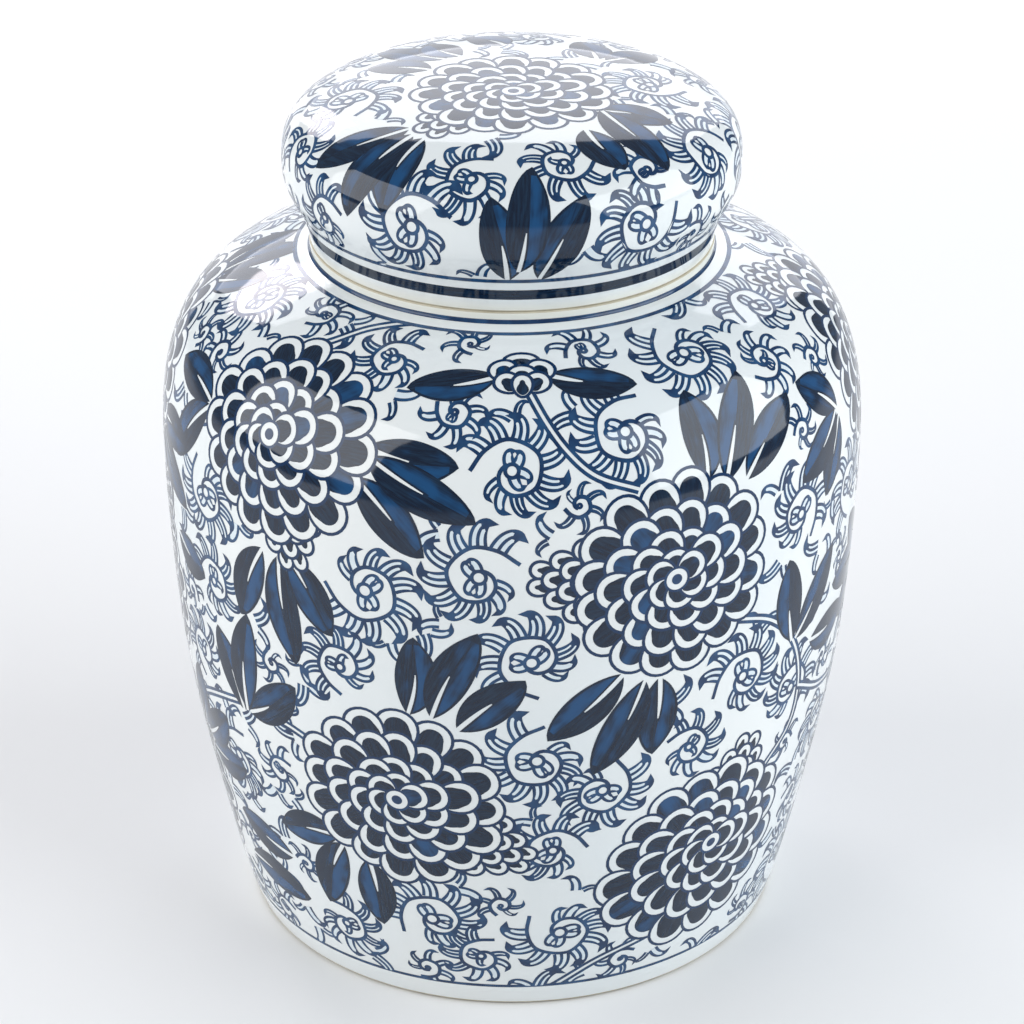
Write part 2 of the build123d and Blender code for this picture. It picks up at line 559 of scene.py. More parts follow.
def bud():
    """Seven scale petals in three rows, with a leaf on each side."""
    shapes = moved(leaf(24, 10.5, 2.0), 6.5, 0.5, -92)
    shapes += moved(leaf(24, 10.5, -2.0), -6.5, 0.5, 92)
    for x, y, width, angle in BUD_PETALS:
        shapes += moved(petal(width, 8.4, 1.5, rng.uniform(0, 0.6)), x, y, angle)
    return shapes


# ---- laying the drawing on a surface

# height of the painting off the glaze
PAINT_LIFT = 0.05
# points on a sector's border, nearness at which points join, and how far grid points stay from others
BORDER_STEP, WELD, GRID_CLEAR = 1.6, 1e-4, 0.35
# rings: steps round and across, unevenness, and the radius that their brush coordinates are taken at
BAND_SEGMENTS, BAND_COLUMNS = 360, 4
BAND_WAVER, BAND_REACH = 0.05, 60


class Painting:
    """Shapes laid on one turned surface, in painter's order, and then cut into a single layer."""

    def __init__(self, surface):
        self.surface = surface
        self.shapes = []
        self.taken = []

    def lay(self, shapes, azimuth, down, degrees=0.0, mirror=False, flat=False):
        """Lays shapes with their origin at an azimuth and a length down the surface."""
        shapes = moved(shapes, 0, 0, degrees, mirror)
        middles = [s.points.mean(axis=0) for s in shapes]
        ahead = [m + polar(1.0, s.heading) for m, s in zip(middles, shapes)]
        everything = np.vstack([s.points for s in shapes] + [middles, ahead])
        a = math.radians(azimuth)
        if flat:
            laid = everything + chart(np.array(a), np.array(down))
        else:
            laid = self.surface.spread(a, down, everything)
        start = 0
        frames = laid[-2 * len(shapes) :]
        for k, shape in enumerate(shapes):
            points = laid[start : start + len(shape.points)]
            start += len(shape.points)
            self.shapes.append((shape.tone, points, shape.shade, frames[k], frames[len(shapes) + k]))

    def stem(self, route):
        """A white stem between two pen lines, along a route of (azimuth, length down) points."""
        az, s = np.array(route, float).T
        middle = self.surface.at(s, self.surface.radius).mean()
        flat = np.stack([np.radians(az) * middle, -s], -1)
        length = np.hypot(*np.diff(flat, axis=0).T).sum()
        path = smooth(flat, max(8, int(length / 1.5)))
        for tone, w in ((LINE, STEM_WIDTH), (WHITE, STEM_WIDTH - 1.9 * PEN)):
            edge = stroke(path, w)
            # the stroke is as wide across the surface as along it
            here = self.surface.at(-edge[:, 1], self.surface.radius)
            centre = np.vstack([path, path[::-1]])
            x = centre[:, 0] + (edge[:, 0] - centre[:, 0]) * middle / here
            laid = chart(x / middle, -edge[:, 1])
            self.shapes.append((tone, laid, 0.5, laid[0], laid[1]))

    def note(self, azimuth, down, radius):
        """Remembers that a round patch of the surface is painted."""
        place, _ = self.surface.points(np.array(math.radians(azimuth)), np.array(float(down)))
        self.taken.append((place, radius))

    def cut(self, start, end, top, bottom, grid):
        """Cuts the shapes in a sector of azimuth into triangles that each show the shape painted last."""
        middle, half = (start + end) / 2, (end - start) / 2
        rim = np.linspace(start, end, int((end - start) * bottom / 85) + 2)
        side = np.linspace(top, bottom, int((bottom - top) / BORDER_STEP) + 2)
        border = [chart(np.radians(rim), bottom), chart(np.radians(end), side[1:-1][::-1])]
        border += [chart(np.radians(rim[::-1]), top)] if top > 0 else [np.zeros((1, 2))]
        border += [chart(np.radians(start), side[1:-1])]
        flats, faces, owners_of, enclosed = [], [], [], []
        total = 0

        def add(flat, index):
            nonlocal total
            x, y = flat.T
            area = (x * np.roll(y, -1) - np.roll(x, -1) * y).sum() / 2
            enclosed.append(abs(area))
            face = list(range(total, total + len(flat)))
            faces.append(face if area > 0 else face[::-1])
            flats.append(flat)
            owners_of.append(index)
            total += len(flat)

        add(np.vstack(border), -1)
        for index, shape in enumerate(self.shapes):
            turned = np.degrees(np.arctan2(shape[1][:, 0], -shape[1][:, 1])) - middle
            turned = (turned + 180) % 360 - 180
            if turned.min() <= half and turned.max() >= -half:
                add(shape[1], index)
        flat = np.vstack(flats)
        tree = KDTree(len(flat))
        for k, (x, y) in enumerate(flat):
            tree.insert((x, y, 0), k)
        tree.balance()
        extra = []
        for row, radius in enumerate(np.arange(top + grid / 2, bottom, grid)):
            real = float(self.surface.at(radius, self.surface.radius))
            count = max(1, int(math.radians(end - start) * real / grid))
            spots = start + (end - start) * (np.arange(count) + 0.25 + 0.5 * (row % 2)) / count
            for x, y in chart(np.radians(spots), radius):
                if tree.find((x, y, 0))[2] > GRID_CLEAR * grid:
                    extra.append((x, y))
        flat = np.vstack([flat] + ([extra] if extra else []))
        where, _, triangles, _, _, owners = delaunay_2d_cdt(
            [Vector(p) for p in flat.tolist()], [], faces, 1, WELD, True
        )
        where = np.array([tuple(p) for p in where])
        sides = where[np.array(triangles)]
        one, two = sides[:, 1] - sides[:, 0], sides[:, 2] - sides[:, 0]
        covered = np.zeros(len(faces))
        for size, owned in zip(np.abs(one[:, 0] * two[:, 1] - one[:, 1] * two[:, 0]) / 2, owners):
            covered[owned] += size
        # an outline that crosses itself can claim far more than it encloses, and is then left out
        sound = covered < 1.2 * np.array(enclosed) + 0.5
        kept, owner = [], []
        for triangle, owned in zip(triangles, owners):
            if owned and min(owned) == 0:
                top_one = owners_of[max(k for k in owned if sound[k] or k == 0)]
                if top_one >= 0 and self.shapes[top_one][0] != WHITE:
                    kept.append(triangle)
                    owner.append(top_one)
        return where, np.array(kept), np.array(owner)

    def pieces(self, name, sectors, top, bottom, grid, body, material):
        """Makes the painted layer as mesh pieces, one for each sector of azimuth."""
        tone = np.array([s[0] for s in self.shapes])
        shade = np.array([s[2] for s in self.shapes])
        origin, ahead = (
            self.surface.points(np.arctan2(p[:, 0], -p[:, 1]), np.hypot(*p.T))
            for p in (np.array([s[3] for s in self.shapes]), np.array([s[4] for s in self.shapes]))
        )
        along = ahead[0] - origin[0]
        along /= np.linalg.norm(along, axis=1)[:, None] + 1e-9
        across = np.cross(origin[1], along)
        width = 360 / sectors
        for k in range(sectors):
            start = width * (k - 0.5)
            where, tri, own = self.cut(start, start + width, top, bottom, grid)
            azimuth = np.arctan2(where[:, 0], -where[:, 1])
            down = np.hypot(*where.T)
            place, normal = self.surface.points(azimuth, down, PAINT_LIFT)
            used, local = np.unique(tri, return_inverse=True)
            local = local.reshape(-1, 3)
            obj = new_mesh(f"{name}_{k + 1:02d}", place[used], local.tolist(), [material])
            corner = place[tri] - origin[0][own][:, None]
            brush = np.stack(
                [(corner * along[own][:, None]).sum(-1), (corner * across[own][:, None]).sum(-1)], -1
            )
            if top > 0:
                turned = (np.degrees(azimuth[tri]) - start + 90) % 360 - 90
                flat = np.stack([turned / width, (bottom - down[tri]) / (bottom - top)], -1)
            else:
                # a sector that reaches the axis is unrolled as a wedge with its point at the axis
                turned = azimuth[tri] - math.radians(start + width / 2)
                reach = down[tri] / bottom
                across = np.sin(turned) / (2 * math.sin(math.radians(width / 2)))
                flat = np.stack([0.5 + reach * across, reach * np.cos(turned)], -1)
            colour = np.ones((len(tri), 3, 4))
            colour[..., 0] = (tone[own] == FILL)[:, None]
            colour[..., 1] = shade[own][:, None]
            colour[..., 2] = (tone[own] == PALE)[:, None]
            dress(obj, normal[used], flat, brush, colour)
            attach(obj, body)


def dress(obj, normals, flat, brush, colour):
    """Gives a painted mesh the glaze's normals, and each corner its unrolled place, brush place and tone."""
    mesh = obj.data
    mesh.normals_split_custom_set_from_vertices(normals.tolist())
    mesh.uv_layers.new(name="OFBake").data.foreach_set("uv", (flat * 0.94 + 0.03).ravel())
    mesh.uv_layers.new(name="Brush").data.foreach_set("uv", brush.ravel())
    attribute = mesh.color_attributes.new("Tone", "FLOAT_COLOR", "CORNER")
    attribute.data.foreach_set("color", colour.ravel())


def bands(name, surface, rings, body, material):
    """Painted rings round a piece, that waver a little."""
    count, columns = BAND_SEGMENTS, BAND_COLUMNS
    angle = np.linspace(0, 2 * math.pi, count, endpoint=False)
    vertices, faces, flat, brush, colour, normals = [], [], [], [], [], []
    for number, (height, width, tone, shade) in enumerate(rings):
        waver = sum(
            rng.uniform(0.2, 1.0) / n * np.sin(n * angle + rng.uniform(0, 6.28)) for n in (2, 3, 7, 13)
        )
        middle = surface.down_to(height) + BAND_WAVER * waver
        thick = width * (1 + BAND_WAVER * np.roll(waver, 40))
        downs = middle[:, None] + thick[:, None] * (np.arange(columns) / (columns - 1) - 0.5)
        place, normal = surface.points(angle[:, None], downs, PAINT_LIFT)
        first = number * count * columns
        vertices.append(place.reshape(-1, 3))
        normals.append(normal.reshape(-1, 3))
        for i in range(count):
            for j in range(columns - 1):
                a, b = first + i * columns + j, first + (i + 1) % count * columns + j
                faces.append((a, a + 1, b + 1, b))
                spots = np.array([(i, j), (i, j + 1), (i + 1, j + 1), (i + 1, j)], float)
                v = (number + 0.1 + 0.8 * spots[:, 1] / (columns - 1)) / len(rings)
                flat.append(np.stack([spots[:, 0] / count, v], -1))
                along = spots[:, 0] * 2 * math.pi * BAND_REACH / count
                brush.append(np.stack([along, spots[:, 1] / (columns - 1) * width], -1))
                colour.append(np.tile((tone == FILL, shade, 0, 1), (4, 1)))
    obj = new_mesh(name, np.vstack(vertices), faces, [material])
    dress(obj, np.vstack(normals), np.array(flat), np.array(brush), np.array(colour, float))
    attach(obj, body)


# ---- materials

# places of the factor and the two colours among the inputs of a Mix node
MIX_INPUTS = (0, 6, 7)


class Nodes:
    """A small helper around a material's node tree."""

    def __init__(self, name):
        self.material = bpy.data.materials.new(name)
        self.material.use_nodes = True
        self.tree = self.material.node_tree
        self.shader = self.tree.nodes["Principled BSDF"]

    def feed(self, socket, value):
        """Links an input to a socket, or sets it to a number or a colour."""
        if isinstance(value, bpy.types.NodeSocket):
            self.tree.links.new(value, socket)
        else:
            socket.default_value = (*value, 1.0) if isinstance(value, tuple) else value

    def add(self, kind, **inputs):
        """A node with these inputs."""
        node = self.tree.nodes.new(kind)
        for key, value in inputs.items():
            self.feed(node.inputs[key.replace("_", " ")], value)
        return node

    def math(self, operation, a, b=0.0):
        node = self.tree.nodes.new("ShaderNodeMath")
        node.operation = operation
        for socket, value in zip(node.inputs, (a, b)):
            self.feed(socket, value)
        return node.outputs[0]

    def fade(self, value, low, high):
        """A smooth step from 0 at low to 1 at high."""
        node = self.add("ShaderNodeMapRange", Value=value, From_Min=low, From_Max=high)
        node.interpolation_type = "SMOOTHSTEP"
        return node.outputs["Result"]

    def mix(self, factor, a, b):
        """A colour between a, at 0, and b, at 1."""
        node = self.tree.nodes.new("ShaderNodeMix")
        node.data_type = "RGBA"
        for number, value in zip(MIX_INPUTS, (factor, a, b)):
            self.feed(node.inputs[number], value)
        return node.outputs[2]

    def noise(self, vector, scale, detail=2.0, roughness=0.5):
        node = self.add("ShaderNodeTexNoise", Vector=vector, Scale=scale, Detail=detail, Roughness=roughness)
        return node.outputs["Fac"]

    def object_place(self):
        return self.tree.nodes.new("ShaderNodeTexCoord").outputs["Object"]

    def colour(self, socket):
        self.tree.links.new(socket, self.shader.inputs["Base Color"])

    def bump(self, height, distance, strength):
        node = self.add("ShaderNodeBump", Height=height, Distance=distance, Strength=strength)
        self.tree.links.new(node.outputs["Normal"], self.shader.inputs["Normal"])


GLAZE_ROUGHNESS = 0.055
GLAZE_IOR = 1.5
GLAZE_WHITE = (0.80, 0.825, 0.82)
GLAZE_COOL = (0.755, 0.80, 0.815)
GLAZE_CREAM = (0.78, 0.77, 0.66)
CLAY_DARK, CLAY_LIGHT = (0.50, 0.46, 0.35), (0.62, 0.57, 0.45)
CLAY_STAIN = (0.36, 0.31, 0.22)
CLAY_ROUGHNESS = 0.82
# blues of the brushed fills, of the pen lines and of the tint, each from dark to light
WASH_DARK, WASH_SOFT, WASH_BRIGHT = (0.003, 0.010, 0.028), (0.008, 0.026, 0.058), (0.008, 0.064, 0.175)
PEN_DARK, PEN_LIGHT = (0.006, 0.028, 0.085), (0.018, 0.075, 0.18)
TINT_DARK, TINT_LIGHT = (0.58, 0.68, 0.76), (0.76, 0.82, 0.84)


def gloss(nodes, place):
    """The shine and the faint unevenness of a fired glaze."""
    nodes.shader.inputs["Roughness"].default_value = GLAZE_ROUGHNESS
    nodes.shader.inputs["IOR"].default_value = GLAZE_IOR
    broad = nodes.noise(place, 55.0, 1.0)
    fine = nodes.noise(place, 240.0, 1.0)
    height = nodes.math("ADD", broad, nodes.math("MULTIPLY", fine, 0.12))
    nodes.bump(height, 0.00012, 1.0)


def glaze(name, cream_low, cream_high):
    """White glaze, creamier where it thins towards the joint of jar and lid."""
    nodes = Nodes(name)
    place = nodes.object_place()
    clouds = nodes.fade(nodes.noise(place, 16.0, 3.0), 0.3, 0.7)
    white = nodes.mix(clouds, GLAZE_WHITE, GLAZE_COOL)
    height = nodes.add("ShaderNodeSeparateXYZ", Vector=place).outputs["Z"]
    worn = nodes.math("ADD", height, nodes.math("MULTIPLY", nodes.noise(place, 45.0, 2.0), 0.0012))
    cream = nodes.fade(worn, cream_low, cream_high)
    white = nodes.mix(nodes.math("MULTIPLY", cream, 0.65), white, GLAZE_CREAM)
    nodes.colour(white)
    gloss(nodes, place)
    return nodes.material


def bisque():
    """Bare fired clay on the foot ring and where the lid sits on the rim."""
    nodes = Nodes("bisque")
    place = nodes.object_place()
    grain = nodes.noise(place, 900.0, 4.0, 0.65)
    stain = nodes.fade(nodes.noise(place, 90.0, 3.0), 0.35, 0.7)
    clay = nodes.mix(grain, CLAY_DARK, CLAY_LIGHT)
    nodes.colour(nodes.mix(nodes.math("MULTIPLY", stain, 0.5), clay, CLAY_STAIN))
    nodes.shader.inputs["Roughness"].default_value = CLAY_ROUGHNESS
    nodes.bump(grain, 0.0002, 0.6)
    return nodes.material


def cobalt():
    """The painting: pen lines, brushed dark fills with bluer patches, and a pale tint in the scrolls."""
    nodes = Nodes("cobalt_painting")
    place = nodes.object_place()
    brush = nodes.tree.nodes.new("ShaderNodeUVMap")
    brush.uv_map = "Brush"
    tone = nodes.tree.nodes.new("ShaderNodeVertexColor")
    tone.layer_name = "Tone"
    parts = nodes.add("ShaderNodeSeparateColor", Color=tone.outputs["Color"])
    fill, shade, pale = (parts.outputs[k] for k in ("Red", "Green", "Blue"))
    across = nodes.add("ShaderNodeSeparateXYZ", Vector=brush.outputs["UV"])

    def stretched(*amounts):
        """Brush coordinates stretched along and across a shape, and set apart for each by its shade."""
        sources = (across.outputs["X"], across.outputs["Y"], shade)
        x, y, z = (nodes.math("MULTIPLY", *pair) for pair in zip(sources, amounts))
        return nodes.add("ShaderNodeCombineXYZ", X=x, Y=y, Z=z).outputs["Vector"]

    streak = nodes.noise(stretched(0.16, 1.5, 37.0), 1.0, 3.0, 0.6)
    blob = nodes.noise(stretched(0.5, 0.8, 91.0), 0.32, 1.0)
    # the brush leaves more blue in the middle of a stroke and pools dark at its edges
    edge = nodes.math("MULTIPLY", nodes.math("ABSOLUTE", across.outputs["Y"]), -0.055)
    pooled = nodes.math("ADD", nodes.math("MULTIPLY", blob, 0.6), nodes.math("MULTIPLY", shade, 0.5))
    pooled = nodes.math("ADD", pooled, nodes.math("MULTIPLY", streak, 0.16))
    patch = nodes.fade(nodes.math("ADD", pooled, edge), 0.54, 0.88)
    dark = nodes.mix(nodes.fade(streak, 0.35, 0.7), WASH_DARK, WASH_SOFT)
    wash = nodes.mix(patch, dark, WASH_BRIGHT)
    pen_tone = nodes.fade(nodes.noise(place, 210.0, 2.0), 0.3, 0.75)
    # the lines round the petals are drawn darker than those of the scrolls
    pressed = nodes.math("ADD", nodes.math("MULTIPLY", shade, 1.7), 0.15)
    pen_tone = nodes.math("MULTIPLY", pen_tone, pressed)
    pen = nodes.mix(pen_tone, PEN_DARK, PEN_LIGHT)
    blue = nodes.mix(fill, pen, wash)
    tint = nodes.mix(nodes.noise(place, 150.0, 1.0), TINT_DARK, TINT_LIGHT)
    nodes.colour(nodes.mix(pale, blue, tint))
    gloss(nodes, place)
    return nodes.material


# ---- the jar and the lid

JAR_RIM = 208.0
JAR_MARGIN = 40.0
NEAR_FOOT = 0.4
NEAR_RIM = 0.6
# bare clay: the foot ring below one height, the rim above another, and the lid's foot within one of the rim
RING_HEIGHT, RING_RADIUS = 0.9, 60
SEAT_HEIGHT, SEAT_RADIUS = 207.55, 52
LID_SEAT, LID_SEAT_RADIUS = 0.5, 46
# heights, in metres, between which the glaze turns creamy
JAR_CREAM = (0.2040, 0.2080)
LID_CREAM = (0.2125, 0.2088)

jar_section = outline("jar_body")
lid_section = outline("lid")

near_rim = np.abs(jar_section[:, 1] - JAR_RIM) < NEAR_RIM
rim_edge = np.flatnonzero(near_rim)[-1]
foot_edge = rim_edge + np.flatnonzero(jar_section[rim_edge:, 1] < NEAR_FOOT)[0]
jar = Turned(jar_section[rim_edge : foot_edge + 1], JAR_MARGIN)
lid_foot = np.flatnonzero(lid_section[:, 1] < JAR_RIM + NEAR_FOOT)[0]
lid = Turned(lid_section[: lid_foot + 1], 0.0)


def bare_on_jar(radius, height):
    """Which places on the jar are bare clay."""
    ring = (height < RING_HEIGHT) & (radius > RING_RADIUS)
    seat = (height > SEAT_HEIGHT) & (radius > SEAT_RADIUS)
    return ring | seat


def bare_on_lid(radius, height):
    """Which places on the lid are bare clay."""
    return (np.abs(height - JAR_RIM) < LID_SEAT) & (radius > LID_SEAT_RADIUS)


glaze_jar = glaze("jar_glaze", *JAR_CREAM)
glaze_lid = glaze("lid_glaze", *LID_CREAM)
clay = bisque()
paint = cobalt()

turn("jar_glaze", jar_section, [glaze_jar, clay], bare_on_jar, "jar", "jar_body", "jar_glaze")
turn("lid_glaze", lid_section, [glaze_lid, clay], bare_on_lid, "lid", "lid", "lid_glaze")


# ---- the paintings

# room that a scroll and a sprig of size 1 take up, the sizes that fill gaps, and how far they may overlap
CURL_REACH, SPRIG_REACH = 14.6, 4.6
CURL_SIZES = (1.0, 0.9, 0.8, 0.7, 0.6, 0.5, 0.42, 0.35)
SPRIG_SIZES = (1.15, 1.0, 0.85)
OVERLAP = 0.9
FAR = 99.0
# for a scroll above this size, the number of its inner horns
INNER_HORNS = ((0.8, 4), (0.6, 3), (0.45, 2))
# parts of a leaf's length, with the share of its width that is taken there
LEAF_PATCHES = ((0.25, 0.38), (0.55, 0.42), (0.82, 0.26))
# round patches that a bud takes up, as (x, y, radius)
BUD_PATCHES = ((0, 4, 10), (-18, 0, 6), (18, 0, 6), (-26, -1, 3), (26, -1, 3))


def curl_reach(size):
    """How far from its middle a scroll takes up the surface."""
    return CURL_REACH * (0.15 + 0.85 * size)


def add_curl(painting, azimuth, down, size, degrees, mirror):
    """Lays a scroll, with more horns the larger it is."""
    horns = max(6, round(10 * size**0.5))
    inner = max([count for least, count in INNER_HORNS if size > least], default=0)
    painting.lay(curl(size, horns, inner), azimuth, down, degrees, mirror)
    painting.note(azimuth, down, curl_reach(size))


def beside(painting, azimuth, down, x, y):
    """The azimuth and length down of the point at a flat offset from another."""
    return unchart(*painting.surface.spread(math.radians(azimuth), down, [[x, y]])[0])


def note_at(painting, azimuth, down, x, y, radius):
    """Remembers that a round patch at a flat offset from a point is painted."""
    painting.note(*beside(painting, azimuth, down, x, y), radius)


def add_leaf(painting, azimuth, down, degrees, length):
    """Lays a leaf from its base in a direction."""
    bend = rng.choice((-1, 1)) * rng.uniform(1.0, 2.2)
    painting.lay(leaf(length, LEAF_WIDTH, bend), azimuth, down, degrees - 90)
    for part, share in LEAF_PATCHES:
        note_at(painting, azimuth, down, *polar(length * part, degrees), LEAF_WIDTH * share)


def add_fan(painting, azimuth, down, direction, reach):
    """Three leaves that spread from a flower's edge in one direction."""
    for off in (-1, 1, 0):
        x, y = polar(reach - 1.5 * abs(off), direction + 7 * off)
        degrees = direction + 31 * off + rng.uniform(-4, 4)
        length = rng.uniform(25, 29) - 2.5 * abs(off)
        add_leaf(painting, *beside(painting, azimuth, down, x, y), degrees, length)


def add_flower(painting, azimuth, down, radius, lean, tail, tail_start, fans):
    """Lays a flower over the fans of leaves that spread from it."""
    for direction in fans:
        add_fan(painting, azimuth, down, direction, radius - 1.0)
    painting.lay(flower(radius, lean, tail, tail_start), azimuth, down)
    note_at(painting, azimuth, down, *lean, radius + 0.3)
    for more, size in ((2.5, 11), (9.0, 6)):
        x, y = polar(radius + tail_start + more, tail) + lean
        note_at(painting, azimuth, down, x, y, size)


def add_bud(painting, azimuth, down):
    """Lays a bud."""
    painting.lay(bud(), azimuth, down)
    for x, y, radius in BUD_PATCHES:
        note_at(painting, azimuth, down, x, y, radius)


def fill_gaps(painting, top, bottom, tries):
    """Sets scrolls, then sprigs, in the bare patches that are left, as tightly as they fit."""
    azimuth = np.array([rng.uniform(-180, 180) for _ in range(tries)])
    down = np.array([rng.uniform(top + 3, bottom - 3) for _ in range(tries)])
    places, _ = painting.surface.points(np.radians(azimuth), down)
    room = np.full(tries, FAR)
    for place, radius in painting.taken:
        room = np.minimum(room, np.linalg.norm(places - place, axis=1) - radius)
    edge = np.minimum(np.where(top > 0, down - top, FAR), bottom - down)
    drawn = painting.shapes
    painting.shapes = []
    fillers = [(True, size, curl_reach(size)) for size in CURL_SIZES]
    fillers += [(False, size, SPRIG_REACH * size) for size in SPRIG_SIZES]
    for scroll, size, reach in fillers:
        while True:
            fits = (room > reach - OVERLAP) & (edge > reach * 0.66)
            if not fits.any():
                break
            best = int(np.argmin(np.where(fits, room, FAR)))
            place = (azimuth[best], down[best])
            degrees = rng.uniform(0, 360)
            if scroll:
                add_curl(painting, *place, size, degrees, rng.random() < 0.5)
            else:
                painting.lay(sprig(size), *place, degrees, rng.random() < 0.5)
            room = np.minimum(room, np.linalg.norm(places - places[best], axis=1) - reach)
    # the flowers and leaves are painted over the edges of what fills the gaps
    painting.shapes += drawn


# flowers as (azimuth, height, radius, lean of the outer rings, direction and start of the tail, leaf fans)
FRONT_FLOWERS = [
    (-42.6, 178.6, 30.5, (3.5, 0.5), -76, -4, []),
    (26.0, 145.3, 31.0, (0.5, 0.0), 172, 0, []),
    (-19.4, 76.2, 31.0, (0.5, 0.0), -30, 0, []),
    (38.4, 50.2, 33.0, (-3.5, -3.0), 72, -3, []),
    (87.0, 179.0, 31.0, (0.0, 0.0), 110, 0, []),
]
OTHER_FLOWERS = [
    (99, 112, 30.0, (1.0, 2.0), -60, 0, [175, 75, -20]),
    (94, 42, 29.5, (0.0, -1.0), 160, -2, [20]),
    (136, 152, 30.0, (-2.0, 1.0), 200, 0, [95, -10, -100]),
    (146, 78, 31.0, (2.0, 0.0), 20, -1, [200, 60, -80]),
    (186, 176, 30.5, (0.0, 2.0), -95, 0, [180, 0, -50]),
    (190, 104, 30.0, (-2.0, 0.0), 150, 0, [0, -120]),
    (193, 42, 31.0, (2.0, -2.0), 30, -2, [140]),
    (229, 150, 31.0, (1.0, 1.0), -20, 0, [100, 200, -100]),
    (236, 74, 30.0, (-2.0, 2.0), 130, -1, [10, -70, 200]),
    (267, 172, 30.0, (1.0, 0.0), -120, 0, [80, -30]),
    (274, 108, 30.0, (-2.0, 0.0), 60, 0, [170, -100]),
    (276, 44, 30.0, (0.0, -2.0), 150, -2, [40]),
]
# leaves as (azimuth, height, direction, length)
FRONT_LEAVES = [
    (-24.1, 182.1, 0, 26), (-25.2, 174.4, -44, 28), (-23.5, 180.1, -21, 34),
    (-42.5, 146.0, -112, 27), (-37.0, 146.8, -58, 25), (-39.0, 145.6, -82, 33),
    (-58.7, 178.6, 171, 25), (-58.8, 177.2, -129, 28),
    (32.1, 171.5, 92, 25), (39.5, 168.1, 38, 28), (35.5, 169.5, 62, 31),
    (17.4, 118.8, -138, 28), (23.7, 115.4, -94, 25), (21.1, 115.7, -116, 32),
    (-16.5, 106.2, 86, 25), (-8.6, 102.6, 40, 25), (-12.7, 105.9, 64, 31),
    (-31.9, 56.9, -165, 23), (-26.3, 51.2, -88, 25), (-31.3, 54.3, -108, 28),
    (-50.6, 87.8, 114, 26), (-48.9, 88.6, 40, 26), (-49.7, 88.6, 82, 34),
    (-62.0, 27.0, -6, 29), (-45.0, 40.0, 172, 26),
    (52.0, 110.1, 98, 28), (58.2, 104.9, 0, 26), (53.0, 109.9, 50, 29),
    (66.0, 171.8, 140, 22), (66.1, 169.8, -118, 23), (65.3, 171.8, -153, 26),
    (-70.1, 130.4, -16, 20),
]
# scrolls as (azimuth, height, size, turn, mirrored)
FRONT_CURLS = [
    (-25, 199, 0.72, 40, False), (16, 201, 0.5, 20, True), (37, 198, 0.95, 100, False),
    (64, 199, 0.85, 10, True), (52, 192, 0.62, 200, False), (0, 180, 0.95, 0, True),
    (19, 187, 0.95, 60, False), (-10, 192, 0.5, 150, False), (-5, 151, 1.0, 20, False),
    (3, 125, 1.0, 100, True), (-23, 143, 1.05, 180, False), (-28, 117, 0.78, 90, True),
    (40, 107, 0.95, 20, True), (52, 150, 0.9, 300, False), (4, 93, 1.0, 80, False),
    (15, 81, 0.9, 250, True), (7, 61, 0.85, 0, False), (-15, 33, 1.0, 40, True),
    (9, 29, 1.0, 140, False), (-6, 20, 0.7, 60, False), (-34, 22, 0.75, 300, True),
    (-57, 153, 0.95, 120, False), (-56, 126, 0.8, 10, True), (-56, 68, 0.95, 60, False),
    (-69, 199, 0.9, 200, False), (-93, 197, 0.9, 20, True),
]
# stems as routes of (azimuth, height)
STEMS = [
    [(3, 196), (6, 190), (9, 184), (13, 178), (20, 173)],
    [(-8, 205), (-24, 204), (-35, 202), (-41, 199), (-46, 196)],
    [(36, 128), (46, 121), (53, 108), (56, 92), (55, 80), (49, 70)],
    [(-72, 76), (-64, 83), (-56, 88), (-49, 91), (-40, 91), (-32, 87)],
    [(8, 7), (17, 16), (28, 22)],
    [(56, 92), (66, 84), (80, 82), (92, 90)],
    [(112, 200), (122, 190), (130, 178), (134, 165)],
    [(120, 105), (132, 116), (146, 112), (160, 118), (176, 114)],
    [(164, 60), (176, 66), (188, 78), (190, 90)],
    [(206, 176), (216, 182), (224, 176), (228, 164)],
    [(212, 96), (220, 108), (228, 120), (230, 134)],
    [(252, 84), (258, 98), (262, 106)],
    [(150, 7), (160, 18), (174, 24), (186, 30)],
    [(238, 7), (244, 22), (240, 40), (237, 52)],
    [(292, 168), (300, 172), (308, 178)],
]
# the lid's flower, by the place of its middle on the flat chart
LID_FLOWER = (0.4, -9.1)
LID_FLOWER_RADIUS = 28.0
LID_FLOWER_TAIL = -132
LID_TAIL_START = -3
# a cluster of three leaves, repeated round the lid
LID_CLUSTERS = (112, -116, 178)
LID_CLUSTER = ((-3, 88, 108, 25), (6, 88, 60, 26), (1, 85, 84, 31))
# on the lid, leaves and scrolls have a length down from its top in place of a height
LID_LEAVES = [
    (-1, 88, 102, 26), (7, 88, 61, 28), (1.7, 84.5, 84, 32),
    (-41, 41.8, -131, 28), (-32, 44.5, -90, 26), (-37, 44.0, -106, 31),
    (44, 31, -48, 22), (30, 39, -84, 19), (48, 32, -98, 30),
    (-111, 24, -86, 19), (-133, 25, -85, 25), (-144, 24, -92, 17),
    (127, 30, -20, 18), (122, 31, -75, 21), (-177, 29, -45, 15),
]
LID_CURLS = [
    (-10.8, 57.4, 0.78, 60, False), (15.4, 52.0, 0.72, 180, True), (-24.4, 72.5, 1.0, 20, False),
    (33.8, 73.8, 0.97, 200, True), (37.9, 59.5, 0.55, 120, True), (61, 62, 0.92, 0, False),
    (-78.4, 45.7, 0.92, 0, False), (89.8, 37.9, 0.88, 90, True), (168, 40.5, 0.72, 200, False),
    (-67.5, 64.8, 0.72, 60, True),
]
BUD_AZIMUTH, BUD_HEIGHT = 2, 198
